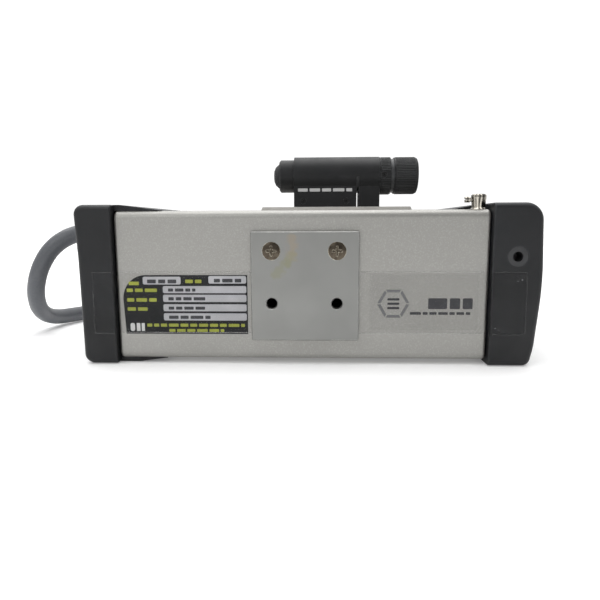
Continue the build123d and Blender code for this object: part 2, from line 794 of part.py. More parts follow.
# --- write --------------------------------------------------------------------------------------
def write_housing():
    front_face = TUBE_FRONT + GASKET + PANEL
    save("housing_tube", housing_tube())
    save("front_bumper", front_bumper())
    save("rear_bumper", rear_bumper())
    save("bumper_bush", bumper_bush())
    lens_holes = [(RX_Y, MID_Z, RX_RADIUS + 0.05), (TX_Y, MID_Z, TX_RADIUS + 0.05)]
    save("front_panel", panel((TUBE_FRONT + GASKET, front_face), lens_holes))
    save("rear_panel", panel((PANEL_BACK, TUBE_REAR - GASKET), [(0, GLAND_Z, 6.05)]))
    gaskets = [gasket((TUBE_FRONT, TUBE_FRONT + GASKET)), gasket((TUBE_REAR - GASKET, TUBE_REAR))]
    save("panel_gaskets", Compound(children=gaskets))
    save("panel_screws", Compound(children=panel_screws(front_face, 1) + panel_screws(PANEL_BACK, -1)))


def write_optics():
    for name, y, radius, half in (("rx", RX_Y, RX_RADIUS, 12.0), ("tx", TX_Y, TX_RADIUS, 9.0)):
        barrel, lens, ring = optic(y, radius)
        save(f"{name}_barrel", barrel)
        save(f"{name}_lens", lens)
        save(f"{name}_lens_ring", ring)
        save("receiver_board" if name == "rx" else "laser_diode_board", sensor_board(y, half))


def write_inside():
    save("chassis_plate", chassis_plate())
    save("main_board", board((-72, 10), (-38, 38), MAIN_Z, 1.3, [(-30, 0, 20, 20, 2.2), (-52, 18, 12, 8, 3)]))
    power_parts = [(-54, 0, 10, 14, 6), (-30, -16, 12, 12, 7), (-30, 16, 10, 10, 9)]
    save("power_board", board((-74, 6), (-38, 38), POWER_Z, 1.3, power_parts))
    save("board_standoffs", board_standoffs())
    save("board_screws", board_screws())
    save("signal_ribbon", signal_ribbon())
    save("inner_lead", inner_lead())


def write_lead():
    save("gland_body", gland_body())
    save("gland_seal", gland_seal())
    save("gland_nut", gland_nut())
    save("strain_boot", strain_boot())
    save("cable_run", lead_tube("cable_run", LEAD_ROUTE))
    save("cable_coil", coil_band(0.0))
    save("cable_end", lead_tube("cable_end", PLUG_ROUTE))
    save("cable_ties", cable_ties())
    save("plug_shell", plug_shell())
    save("plug_insert", plug_insert())
    save("plug_pins", plug_pins())
    save("coupling_ring", coupling_ring())


def write_side():
    save("mounting_plate", mounting_plate())
    save("plate_screws", plate_screws())
    save("rating_label", label(RATING_LABEL[:2], RATING_LABEL[2:]))
    save("maker_label", label(MAKER_LABEL[:2], MAKER_LABEL[2:]))
    rear_film = film(PLATE[0] - 0.2, TUBE_REAR + 1.6, TUBE_REAR - 0.3, -FILM_END)
    front_film = film(PLATE[1] + 0.2, TUBE_FRONT - 1.6, TUBE_FRONT + 0.3, FILM_END)
    save("clear_film", Compound(children=[rear_film, front_film]))


def write_top():
    save("adapter_plate", adapter_plate())
    save("adapter_screws", adapter_screws())
    save("pointer_clamp", pointer_clamp())
    save("clamp_screw_rear", clamp_screw(0))
    save("clamp_screw_front", clamp_screw(1))
    save("pointer_barrel", pointer_barrel())
    save("adjust_ring", adjust_ring())
    save("windage_screw", adjust_screw(Rot(0, 0, -90)))
    save("elevation_screw", adjust_screw(Rot(0, -90, 0)))
    save("pointer_head", pointer_head())
    save("pointer_window", rod(50.6, 52.2, 6.4, pointer_place()))
    save("tail_cap", tail_cap())
    save("tail_button", tail_button())
    save("button_spring", spring(-12.9, -9.05, 3.4, 0.3, 3))
    save("coin_cells", coin_cells())
    save("laser_module", laser_module())
    save("module_lens", rod(MODULE[1] - 2.9, MODULE[1] - 0.8, 4.2, pointer_place()))
    save("pivot_ring", pivot_ring())
    save("clamp_post", clamp_post())
    save("post_screw", post_screw())


os.makedirs("parts", exist_ok=True)
write_housing()
write_optics()
write_inside()
write_lead()
write_side()
write_top()
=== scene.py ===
import json
import math
import random

import bmesh
import bpy
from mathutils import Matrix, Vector


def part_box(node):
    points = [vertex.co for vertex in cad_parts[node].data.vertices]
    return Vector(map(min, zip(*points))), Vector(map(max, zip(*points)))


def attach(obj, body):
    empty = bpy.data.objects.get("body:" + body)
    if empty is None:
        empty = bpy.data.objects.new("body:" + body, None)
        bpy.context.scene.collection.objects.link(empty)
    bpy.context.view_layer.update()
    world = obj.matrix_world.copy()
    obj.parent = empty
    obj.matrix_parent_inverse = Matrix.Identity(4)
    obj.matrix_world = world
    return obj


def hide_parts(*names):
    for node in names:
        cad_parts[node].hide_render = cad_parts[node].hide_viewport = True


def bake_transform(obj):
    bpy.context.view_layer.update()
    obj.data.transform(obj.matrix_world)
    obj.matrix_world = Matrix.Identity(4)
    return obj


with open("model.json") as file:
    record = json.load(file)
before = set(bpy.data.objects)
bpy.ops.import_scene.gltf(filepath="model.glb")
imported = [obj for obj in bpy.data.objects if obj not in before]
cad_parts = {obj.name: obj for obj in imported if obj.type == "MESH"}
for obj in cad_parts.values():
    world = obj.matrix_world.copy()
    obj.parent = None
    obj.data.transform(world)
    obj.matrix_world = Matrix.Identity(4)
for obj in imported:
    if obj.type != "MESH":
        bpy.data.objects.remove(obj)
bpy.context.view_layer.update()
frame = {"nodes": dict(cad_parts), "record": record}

MM = 0.001
nodes = frame["nodes"]
random.seed(7)


def mm(*values):
    """A point given in millimetres."""
    return Vector(values) * MM


def low(node):
    """The lowest corner of a CAD node's box, in millimetres."""
    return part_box(node)[0] / MM


def high(node):
    """The highest corner of a CAD node's box, in millimetres."""
    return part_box(node)[1] / MM


def link(name, data):
    piece = bpy.data.objects.new(name, data)
    bpy.context.scene.collection.objects.link(piece)
    return piece


# --- camera ---------------------------------------------------------------------------------------
EYE = (7.2, -298.3, 60.7)  # just below the tube's top, so that the ramps' tops are mostly hidden
EYE_TURN = (81.49, 0.24, 2.41)  # degrees: looking down a little, and a little to the left
LENS = 32.96
LENS_SHIFT = 0.011


def make_camera():
    lens = bpy.data.cameras.new("camera")
    lens.lens = LENS
    lens.sensor_width = 36.0
    lens.clip_start = 0.01
    lens.shift_y = LENS_SHIFT
    camera = link("camera", lens)
    camera.location = mm(*EYE)
    camera.rotation_euler = [math.radians(turn) for turn in EYE_TURN]
    bpy.context.scene.camera = camera


make_camera()

# --- cord -----------------------------------------------------------------------------------------
CORD_RADIUS = 4.5
COIL_MIDDLE = (-40.0, 130.0)
COIL_RADII = (45.0, 54.0)
COIL_LAYERS = (5.15, 14.15)  # heights of the middle of the turns
TURN_POINTS = 16
STEP_POINTS = 3  # the step from one turn to the next takes this many

# from the strain boot down to the surface and behind the box
LEAD_ROUTE = [
    (-109, 0, 57.8),
    (-121, -2.5, 57.5),
    (-131, -6, 54.5),
    (-138.5, -8.5, 48.5),
    (-144, -9.5, 40),
    (-148, -8.5, 30.5),
    (-151, -4.5, 21.5),
    (-153.2, 2.5, 14),
    (-154.4, 13, 8.5),
    (-154, 26, 5.5),
    (-150.5, 40, 4.8),
    (-143, 54, 4.6),
    (-130, 66, 4.6),
    (-110, 74.3, 4.8),
    (-84, 77.5, 5),
    (-58, 76, 5.1),
]
# from the top of the coil to the plug
PLUG_ROUTE = [
    (-34, 76, 14.1),
    (-14, 76.6, 12.6),
    (6, 78.6, 7.4),
    (26, 80.6, 5.2),
    (40, 81.3, 7.3),
    (52, 81.5, 8.3),
]


def coil_points():
    """Four turns from the side next to the box: two that lie on the floor and two on top of them."""
    inner, outer = COIL_RADII
    bottom, top = COIL_LAYERS
    stages = [(outer, bottom), (inner, bottom), (inner, top), (outer, top)]
    points = []
    for turn, (radius, height) in enumerate(stages):
        before = stages[turn - 1] if turn else stages[0]
        for step in range(TURN_POINTS):
            angle = -math.pi / 2 + 2 * math.pi * (step + 0.5) / TURN_POINTS
            share = min(1.0, (step + 1) / STEP_POINTS)
            r = before[0] + (radius - before[0]) * share
            z = before[1] + (height - before[1]) * share
            x = COIL_MIDDLE[0] + r * math.cos(angle)
            y = COIL_MIDDLE[1] + r * math.sin(angle)
            points.append((x, y, z))
    return points


def smooth_tube(name, points, radius):
    """A tube along a smooth spline with these points as its control points, and the line down its middle."""
    curve = bpy.data.curves.new(name, "CURVE")
    curve.dimensions = "3D"
    curve.resolution_u = 10
    spline = curve.splines.new("NURBS")
    spline.points.add(len(points) - 1)
    for point, place in zip(spline.points, points):
        point.co = (*mm(*place), 1.0)
    spline.order_u = 3
    spline.use_endpoint_u = True
    route = bpy.data.objects.new(name, curve)
    line = [vertex.co.copy() for vertex in bpy.data.meshes.new_from_object(route).vertices]
    curve.bevel_depth = radius * MM
    curve.bevel_resolution = 8
    curve.use_fill_caps = True
    mesh = bpy.data.meshes.new_from_object(route)
    bpy.data.objects.remove(route)
    return link(name, mesh), line


cord, cord_line = smooth_tube("lead", LEAD_ROUTE + coil_points() + PLUG_ROUTE, CORD_RADIUS)
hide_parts("cable_run", "cable_coil", "cable_end")
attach(cord, "case")


# --- floor, light and view ------------------------------------------------------------------------
SUN_STRENGTH = 2.1
SUN_SPREAD = 70  # degrees
FRONT_POWER = 3.0
FLOOR_GAP = 0.2  # from the lowest point down to the ground
FRONT_GLOW, BACK_GLOW, SEEN_GLOW = 0.32, 1.0, 1.1  # the world's strength in front, behind, and as seen


def make_floor():
    """A wide flat ground just under the object."""
    mesh = bpy.data.meshes.new("floor")
    shape = bmesh.new()
    bmesh.ops.create_grid(shape, x_segments=1, y_segments=1, size=6.0)
    shape.to_mesh(mesh)
    shape.free()
    floor = link("floor", mesh)
    floor.location.z = -FLOOR_GAP * MM
    return floor


def area_light(name, place, aim, size, power):
    """A soft rectangular lamp at a point, turned to another point, both in metres."""
    lamp = bpy.data.lights.new(name, "AREA")
    lamp.shape = "RECTANGLE"
    lamp.size, lamp.size_y = size
    lamp.energy = power
    piece = link(name, lamp)
    piece.location = place
    piece.rotation_euler = (Vector(aim) - Vector(place)).to_track_quat("-Z", "Y").to_euler()


def make_light():
    """Bright from above and behind, dimmer from the front, on a white ground."""
    high_sun = bpy.data.lights.new("top", "SUN")
    high_sun.energy = SUN_STRENGTH
    high_sun.angle = math.radians(SUN_SPREAD)
    sun = link("top", high_sun)
    sun.rotation_euler = Vector((0.1, -0.2, -1.0)).to_track_quat("-Z", "Y").to_euler()
    area_light("front", (-0.55, -1.0, 0.75), (0, 0, 0.04), (0.8, 0.6), FRONT_POWER)
    world = bpy.data.worlds.new("studio")
    world.use_nodes = True
    tree = world.node_tree
    shade = tree.nodes["Background"]
    place = tree.nodes.new("ShaderNodeTexCoord")
    split = tree.nodes.new("ShaderNodeSeparateXYZ")
    rise = tree.nodes.new("ShaderNodeMapRange")
    path = tree.nodes.new("ShaderNodeLightPath")
    strength = tree.nodes.new("ShaderNodeMix")
    tree.links.new(place.outputs["Generated"], split.inputs["Vector"])
    tree.links.new(split.outputs["Y"], rise.inputs["Value"])
    spread = (("From Min", -0.8), ("From Max", 0.6), ("To Min", FRONT_GLOW), ("To Max", BACK_GLOW))
    for name, value in spread:
        rise.inputs[name].default_value = value
    tree.links.new(path.outputs["Is Camera Ray"], strength.inputs[0])
    tree.links.new(rise.outputs["Result"], strength.inputs[2])
    strength.inputs[3].default_value = SEEN_GLOW
    tree.links.new(strength.outputs[0], shade.inputs["Strength"])
    shade.inputs["Color"].default_value = (1, 1, 1, 1)
    bpy.context.scene.world = world
    bpy.context.scene.view_settings.view_transform = "Standard"


floor = make_floor()
make_light()


# --- materials ------------------------------------------------------------------------------------
class Look:
    """A Principled material, and short calls that add procedural detail to it."""

    def __init__(self, name, color, roughness, metallic=0.0, **settings):
        self.material = bpy.data.materials.new(name)
        self.material.use_nodes = True
        self.tree = self.material.node_tree
        self.shader = self.tree.nodes["Principled BSDF"]
        self.color = (*color, 1.0)
        self.roughness = roughness
        self.shader.inputs["Base Color"].default_value = self.color
        self.shader.inputs["Roughness"].default_value = roughness
        self.shader.inputs["Metallic"].default_value = metallic
        for key, value in settings.items():
            self.shader.inputs[key.replace("_", " ")].default_value = value
        self.place = self.tree.nodes.new("ShaderNodeTexCoord").outputs["Object"]

    def node(self, kind, **settings):
        node = self.tree.nodes.new(kind)
        for key, value in settings.items():
            setattr(node, key, value)
        return node

    def join(self, start, end):
        self.tree.links.new(start, end)

    def stretched(self, stretch):
        """Object coordinates, scaled on each axis."""
        mapping = self.node("ShaderNodeMapping")
        mapping.inputs["Scale"].default_value = stretch
        self.join(self.place, mapping.inputs["Vector"])
        return mapping.outputs["Vector"]

    def noise(self, size, stretch=(1, 1, 1), detail=3.0):
        """Noise whose features are about size millimetres across."""
        noise = self.node("ShaderNodeTexNoise")
        noise.inputs["Scale"].default_value = 1 / (size * MM)
        noise.inputs["Detail"].default_value = detail
        self.join(self.stretched(stretch), noise.inputs["Vector"])
        return noise.outputs["Fac"]

    def ramp(self, value, start, end, low=0.0, high=1.0):
        """The value's stretch from start to end, spread from low to high."""
        spread = self.node("ShaderNodeMapRange")
        for name, number in zip(("From Min", "From Max", "To Min", "To Max"), (start, end, low, high)):
            spread.inputs[name].default_value = number
        self.join(value, spread.inputs["Value"])
        return spread.outputs["Result"]

    def math(self, operation, first, second):
        step = self.node("ShaderNodeMath", operation=operation)
        for socket, value in zip(step.inputs, (first, second)):
            if isinstance(value, (int, float)):
                socket.default_value = value
            else:
                self.join(value, socket)
        return step.outputs["Value"]

    def tint(self, value, color):
        """Mixes another colour over the base where the value is high."""
        mix = self.node("ShaderNodeMix", data_type="RGBA")
        base = self.shader.inputs["Base Color"]
        if base.links:
            self.join(base.links[0].from_socket, mix.inputs[6])
        else:
            mix.inputs[6].default_value = self.color
        mix.inputs[7].default_value = (*color, 1.0)
        self.join(value, mix.inputs[0])
        self.join(mix.outputs[2], base)
        return self

    def rough(self, value, spread):
        """Lets the value move the roughness up and down by the spread."""
        result = self.ramp(value, 0.3, 0.7, self.roughness - spread, self.roughness + spread)
        self.join(result, self.shader.inputs["Roughness"])
        return self

    def bump(self, value, height):
        """Raises the surface by the value times height, in millimetres."""
        bump = self.node("ShaderNodeBump")
        bump.inputs["Distance"].default_value = height * MM
        normal = self.shader.inputs["Normal"]
        if normal.links:
            self.join(normal.links[0].from_socket, bump.inputs["Normal"])
        self.join(value, bump.inputs["Height"])
        self.join(bump.outputs["Normal"], normal)
        return self

    def edges(self, reach):
        """About 1 close to a sharp edge, within reach millimetres of it, and 0 on open faces."""
        bevel = self.node("ShaderNodeBevel", samples=4)
        bevel.inputs["Radius"].default_value = reach * MM
        here = self.node("ShaderNodeNewGeometry")
        dot = self.node("ShaderNodeVectorMath", operation="DOT_PRODUCT")
        self.join(bevel.outputs["Normal"], dot.inputs[0])
        self.join(here.outputs["Normal"], dot.inputs[1])
        return self.ramp(dot.outputs["Value"], 0.99, 0.86)

    def edge_wear_and_highlight(self, reach, color, amount, size=3.0):
        """Tints the edges to another colour, in patches: rubbed by use on some parts, a painted highlight on
        others.
        """
        patches = self.ramp(self.noise(size), 0.4, 0.65, 0.0, amount)
        return self.tint(self.math("MULTIPLY", self.edges(reach), patches), color)

    def speckle(self, size, color, amount):
        return self.tint(self.ramp(self.noise(size, detail=1.0), 0.45, 0.7, 0.0, amount), color)

    def upward(self):
        """0 on upright faces and 1 on faces that look up, in patches."""
        split = self.node("ShaderNodeSeparateXYZ")
        self.join(self.node("ShaderNodeNewGeometry").outputs["Normal"], split.inputs["Vector"])
        patches = self.ramp(self.noise(15), 0.2, 0.7, 0.5, 0.9)
        return self.math("MULTIPLY", self.ramp(split.outputs["Z"], 0.1, 0.8), patches)

    def near(self, x0, z0, x1, z1, reach):
        """Near 1 on a line across the XZ face, in millimetres, fading out at reach."""
        start = mm(x0, 0, z0)
        run = mm(x1, 0, z1) - start
        flat = self.node("ShaderNodeVectorMath", operation="MULTIPLY_ADD")
        flat.inputs[1].default_value = (1, 0, 1)
        flat.inputs[2].default_value = -start
        self.join(self.place, flat.inputs[0])
        along = self.node("ShaderNodeVectorMath", operation="DOT_PRODUCT")
        along.inputs[1].default_value = run / run.length_squared
        self.join(flat.outputs["Vector"], along.inputs[0])
        share = self.ramp(along.outputs["Value"], 0.0, 1.0)
        foot = self.node("ShaderNodeVectorMath", operation="SCALE")
        foot.inputs["Vector"].default_value = run
        self.join(share, foot.inputs["Scale"])
        gap = self.node("ShaderNodeVectorMath", operation="DISTANCE")
        self.join(flat.outputs["Vector"], gap.inputs[0])
        self.join(foot.outputs["Vector"], gap.inputs[1])
        frayed = self.ramp(self.noise(2.5), 0.3, 0.7, -1.2 * MM, 1.2 * MM)
        ragged = self.math("ADD", gap.outputs["Value"], frayed)
        return self.ramp(ragged, reach * MM, 0.3 * reach * MM, 0.0, 0.5)


def metal(name, color, roughness, grain=0.25, stretch=(1, 1, 1), height=0.006, **settings):
    """Bare or plated metal with a fine grain and faint handling marks."""
    look = Look(name, color, roughness, metallic=1.0, **settings)
    look.bump(look.noise(grain, stretch), height)
    look.rough(look.noise(14), 0.05)
    look.speckle(6, [0.8 * c for c in color], 0.5)
    return look


def coated(name, color, roughness, grain=0.2, height=0.01, **settings):
    """Paint, anodised colour or plastic: a dull skin with fine texture and faint marks."""
    look = Look(name, color, roughness, **settings)
    look.bump(look.noise(grain), height)
    look.rough(look.noise(11), 0.06)
    look.speckle(9, [1.35 * c + 0.002 for c in color], 0.5)
    return look


def anodised():
    """Bead-blasted extrusion: fine sparkle, long faint draw lines, slight cloudiness."""
    look = Look("anodised", (0.345, 0.34, 0.322), 0.44, metallic=0.75)
    look.bump(look.noise(0.35, detail=2.0), 0.012)
    look.bump(look.noise(0.5, (0.004, 1, 1)), 0.005)
    look.rough(look.noise(18), 0.05)
    look.tint(look.ramp(look.noise(30, (0.4, 1, 1)), 0.4, 0.7, 0.0, 0.35), (0.33, 0.325, 0.305))
    look.tint(look.ramp(look.noise(0.5, detail=1.0), 0.52, 0.7, 0.0, 0.3), (0.52, 0.515, 0.49))
    look.edge_wear_and_highlight(0.8, (0.62, 0.61, 0.58), 0.6)
    return look


def bumper():
    """Moulded rubber with a fine spark-eroded grain, dusty scuffs, a painted highlight on its upward faces,
    and pale edges partly worn and partly a painted highlight.
    """
    look = Look("bumper", (0.0065, 0.0070, 0.0082), 0.5, Specular_IOR_Level=0.4)
    look.bump(look.noise(0.35, detail=2.0), 0.03)
    look.rough(look.noise(9), 0.08)
    look.tint(look.ramp(look.noise(22), 0.45, 0.75, 0.0, 0.6), (0.010, 0.0112, 0.0135))
    # Painted highlight: faces that look up are made lighter, in patches.
    look.tint(look.upward(), (0.036, 0.038, 0.041))
    # Pale edges: partly rubbed from use, partly a painted highlight along the top edges.
    look.edge_wear_and_highlight(1.4, (0.055, 0.057, 0.062), 0.5)
    return look


def cable_jacket():
    """Smooth grey plastic with faint lighter patches and a few rubbed marks."""
    look = Look("cable", (0.098, 0.104, 0.115), 0.42, Specular_IOR_Level=0.5)
    look.bump(look.noise(0.6, detail=2.0), 0.02)
    look.rough(look.noise(12), 0.08)
    look.tint(look.ramp(look.noise(16), 0.42, 0.7, 0.0, 0.5), (0.125, 0.131, 0.142))
    look.speckle(1.2, (0.075, 0.08, 0.09), 0.4)
    return look


def side_plate():
    """Dull milled plate with a faint stain that runs down from its top edge, and edges painted paler as a
    highlight.
    """
    look = Look("plate", (0.27, 0.272, 0.262), 0.42, metallic=0.8)
    look.bump(look.noise(0.3, (1, 1, 0.02)), 0.006)
    look.rough(look.noise(12), 0.06)
    look.tint(look.ramp(look.noise(20), 0.4, 0.7, 0.0, 0.4), (0.23, 0.232, 0.224))
    run = [(-6, 54.7), (-6, 47.7), (-8.6, 44.2), (-13.9, 39.4)]
    colors = [(0.33, 0.27, 0.20), (0.26, 0.255, 0.17), (0.25, 0.25, 0.17)]
    for (x0, z0), (x1, z1), color in zip(run, run[1:], colors):
        look.tint(look.near(x0, z0, x1, z1, 2.6), color)
    # Painted highlight: the plate's edges are made paler.
    look.edge_wear_and_highlight(0.5, (0.6, 0.6, 0.57), 0.9)
    return look


def lens_glass():
    """Coated glass, dark, with a violet to green bloom."""
    look = Look("lens", (0.02, 0.022, 0.035), 0.05, Coat_Weight=1.0, Coat_Roughness=0.03)
    look.shader.inputs["Coat Tint"].default_value = (0.75, 0.6, 1.0, 1.0)
    look.shader.inputs["IOR"].default_value = 1.6
    look.tint(look.ramp(look.noise(18, detail=0.5), 0.35, 0.65, 0.0, 0.8), (0.012, 0.035, 0.03))
    return look


def clear_film():
    """Thin adhesive film: almost clear, a little darker than what it covers."""
    look = Look("film", (0.03, 0.03, 0.028), 0.35, Alpha=0.03, Specular_IOR_Level=0.2)
    look.bump(look.noise(7, detail=2.0), 0.008)
    look.rough(look.noise(9), 0.08)
    return look


def circuit():
    """Solder mask over copper tracks."""
    look = Look("circuit", (0.01, 0.09, 0.035), 0.35)
    tracks = look.node("ShaderNodeTexBrick")
    tracks.inputs["Scale"].default_value = 180
    tracks.inputs["Mortar Size"].default_value = 0.04
    look.join(look.stretched((1, 1, 1)), tracks.inputs["Vector"])
    look.tint(look.ramp(tracks.outputs["Fac"], 0.2, 0.8), (0.02, 0.17, 0.06))
    look.bump(tracks.outputs["Fac"], 0.05)
    look.speckle(1.5, (0.45, 0.33, 0.12), 0.25)
    return look


def fabric_band():
    """Black hook-and-loop tape: a tight weave with a fuzzy sheen."""
    look = Look("tie", (0.014, 0.014, 0.015), 0.9, Sheen_Weight=0.5)
    wave = look.node("ShaderNodeTexWave", bands_direction="DIAGONAL")
    wave.inputs["Scale"].default_value = 500
    wave.inputs["Distortion"].default_value = 2.0
    look.join(look.place, wave.inputs["Vector"])
    look.bump(wave.outputs["Fac"], 0.12)
    look.bump(look.noise(0.4), 0.1)
    look.speckle(2, (0.03, 0.03, 0.032), 0.6)
    return look


def ribbon():
    """Grey flat cable with a wire under each fine ridge."""
    look = coated("ribbon", (0.33, 0.33, 0.35), 0.45)
    wave = look.node("ShaderNodeTexWave", bands_direction="Y")
    wave.inputs["Scale"].default_value = 250
    look.join(look.place, wave.inputs["Vector"])
    look.tint(wave.outputs["Fac"], (0.2, 0.2, 0.21))
    look.bump(wave.outputs["Fac"], 0.1)
    return look


def pointer_skin():
    """Black anodised metal, rubbed pale on its sharp edges."""
    look = coated("pointer", (0.0085, 0.009, 0.010), 0.5, grain=0.18, height=0.012, Specular_IOR_Level=0.35)
    look.edge_wear_and_highlight(0.35, (0.16, 0.165, 0.17), 0.7, size=1.5)
    return look


def worn_screw():
    """Tarnished plating: brown in patches, bright where a driver has rubbed it."""
    look = metal("plate_screw", (0.10, 0.083, 0.064), 0.28, grain=0.8, height=0.015)
    look.speckle(1.6, (0.05, 0.04, 0.03), 0.8)
    look.edge_wear_and_highlight(0.5, (0.85, 0.78, 0.62), 1.0, size=0.8)
    return look


def fluted_nickel():
    """Plating with painted shade in the upright flutes of a knurl."""
    look = metal("nickel", (0.5, 0.47, 0.41), 0.22, grain=0.5)
    flutes = look.noise(0.9, (1, 1, 0.04), detail=1.0)
    look.bump(flutes, 0.2)
    # Painted shade: darker in the hollows of the flutes.
    look.tint(look.ramp(flutes, 0.42, 0.55, 0.95, 0.0), (0.05, 0.046, 0.04))
    return look


LOOKS = {
    "anodised": anodised(),
    "bumper": bumper(),
    "dark_metal": coated("dark_metal", (0.045, 0.046, 0.048), 0.4, Metallic=0.5),
    "panel": coated("panel", (0.02, 0.0205, 0.022), 0.5),
    "seal": coated("seal", (0.01, 0.01, 0.01), 0.6, grain=0.5),
    "steel": metal("steel", (0.55, 0.55, 0.55), 0.3),
    "barrel": coated("barrel", (0.012, 0.012, 0.013), 0.45),
    "lens": lens_glass(),
    "circuit": circuit(),
    "chassis": metal("chassis", (0.6, 0.6, 0.6), 0.35, grain=0.4, stretch=(0.02, 1, 1)),
    "brass": metal("brass", (0.65, 0.45, 0.17), 0.28),
    "ribbon": ribbon(),
    "cable": cable_jacket(),
    "gland": metal("gland", (0.6, 0.6, 0.58), 0.25),
    "boot": coated("boot", (0.02, 0.02, 0.021), 0.6, grain=0.4, height=0.03),
    "tie": fabric_band(),
    "plug_metal": metal("plug_metal", (0.55, 0.55, 0.52), 0.28),
    "plug_plastic": coated("plug_plastic", (0.012, 0.012, 0.012), 0.45),
    "plate": side_plate(),
    "plate_screw": worn_screw(),
    "label": coated("label", (0.009, 0.0095, 0.011), 0.45, Specular_IOR_Level=0.3),
    "film": clear_film(),
    "adapter": metal("adapter", (0.84, 0.82, 0.78), 0.45, grain=0.4, stretch=(0.02, 1, 1)),
    "pointer": pointer_skin(),
    "pointer_barrel": coated("pointer_barrel", (0.05, 0.052, 0.055), 0.4, grain=0.18),
    "black_steel": coated("black_steel", (0.03, 0.03, 0.03), 0.3, Metallic=0.7),
    "button": coated("button", (0.014, 0.0145, 0.016), 0.6, grain=0.4, height=0.02),
    "nickel": fluted_nickel(),
}


def paint(piece, look):
    piece.data.materials.clear()
    piece.data.materials.append(look.material)


def skin(shape, rings):
    """Joins rings of vertices side by side and closes both ends."""
    for first, second in zip(rings, rings[1:]):
        for i in range(len(first)):
            j = (i + 1) % len(first)
            shape.faces.new((first[i], first[j], second[j], second[i]))
    shape.faces.new(rings[0][::-1])
    shape.faces.new(rings[-1])


def make_piece(name, shape, look, body):
    """Makes the shape into a painted piece that rides on a body."""
    mesh = bpy.data.meshes.new(name)
    shape.to_mesh(mesh)
    shape.free()
    piece = link(name, mesh)
    paint(piece, look)
    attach(piece, body)
    return piece


for entry in frame["record"]["subparts"]:
    paint(nodes[entry["node"]], LOOKS[entry["material_slot"]])
paint(cord, LOOKS["cable"])
floor_look = Look("floor", (0.9, 0.9, 0.9), 0.8, Emission_Strength=0.18)
floor_look.shader.inputs["Emission Color"].default_value = (1, 1, 1, 1)
floor_look.bump(floor_look.noise(3), 0.02)
paint(floor, floor_look)


# --- printed labels -------------------------------------------------------------------------------
LABEL_FACE = low("rating_label").y
PRINT_THICK = 0.012  # between the label and the clear film over it
CLEAR_THICK = 0.04
CORNER_STEPS = 5
BAR_SHARE = 0.8  # of a line of print's height
BAR_LENGTHS = (1.5, 4.0)  # times its height
BAR_GAP = 0.6


def rounded(x0, x1, z0, z1, radius):
    """The outline of a rounded rectangle on the side face, anticlockwise as seen from the front."""
    corners = [(x1 - radius, z0 + radius, -90), (x1 - radius, z1 - radius, 0)]
    corners += [(x0 + radius, z1 - radius, 90), (x0 + radius, z0 + radius, 180)]
    outline = []
    for x, z, start in corners:
        for step in range(CORNER_STEPS + 1):
            angle = math.radians(start + 90 * step / CORNER_STEPS)
            outline.append((x + radius * math.cos(angle), z + radius * math.sin(angle)))
    return outline


def slices(name, outlines, back, front, look):
    """Flat pieces with these XZ outlines, from Y back to Y front, the visible side, with a softened rim."""
    shape = bmesh.new()
    rim = 0.3 * abs(back - front)
    for outline in outlines:
        middle = Vector((sum(x for x, _ in outline), sum(z for _, z in outline))) / len(outline)
        rings = []
        for y, inset in ((back, 0.0), (front + rim, 0.0), (front, rim)):
            ring = []
            for x, z in outline:
                away = Vector((x, z)) - middle
                x, z = middle + away * (1 - inset / max(away.length, rim))
                ring.append(shape.verts.new(mm(x, y, z)))
            rings.append(ring)
        skin(shape, rings)
    bmesh.ops.recalc_face_normals(shape, faces=shape.faces)
    return make_piece(name, shape, look, "case")


def dashes(x0, x1, z0, z1):
    """A row of plain bars of uneven length, where a line of small print would be."""
    height = BAR_SHARE * (z1 - z0)
    bars = []
    x = x0
    while x < x1 - height:
        end = min(x1, x + height * random.uniform(*BAR_LENGTHS))
        bars.append(rounded(x, end, z0, z0 + height, 0.2 * height))
        x = end + BAR_GAP * height
    return bars


PALE_PRINT = coated("pale_print", (0.42, 0.42, 0.44), 0.4)
LIME_PRINT = coated("lime_print", (0.30, 0.33, 0.035), 0.45)
DARK_PRINT = coated("dark_print", (0.03, 0.03, 0.035), 0.4)
GREY_PRINT = coated("grey_print", (0.14, 0.14, 0.145), 0.4)
WHITE_PRINT = coated("white_print", (0.6, 0.6, 0.6), 0.45)
CLEAR_LABEL = coated("clear_label", (0.2, 0.2, 0.195), 0.4, height=0.002, Alpha=0.02)

ROUND_X, ROUND_Z = 10.1, 10.6  # reach of the type label's large round corner
ROUND_STEPS = 12
ROWS = [(31.2, 34.3), (27.3, 30.5), (23.2, 26.3), (19.1, 22.3)]
ROW_X = (-62.9, -26.2)


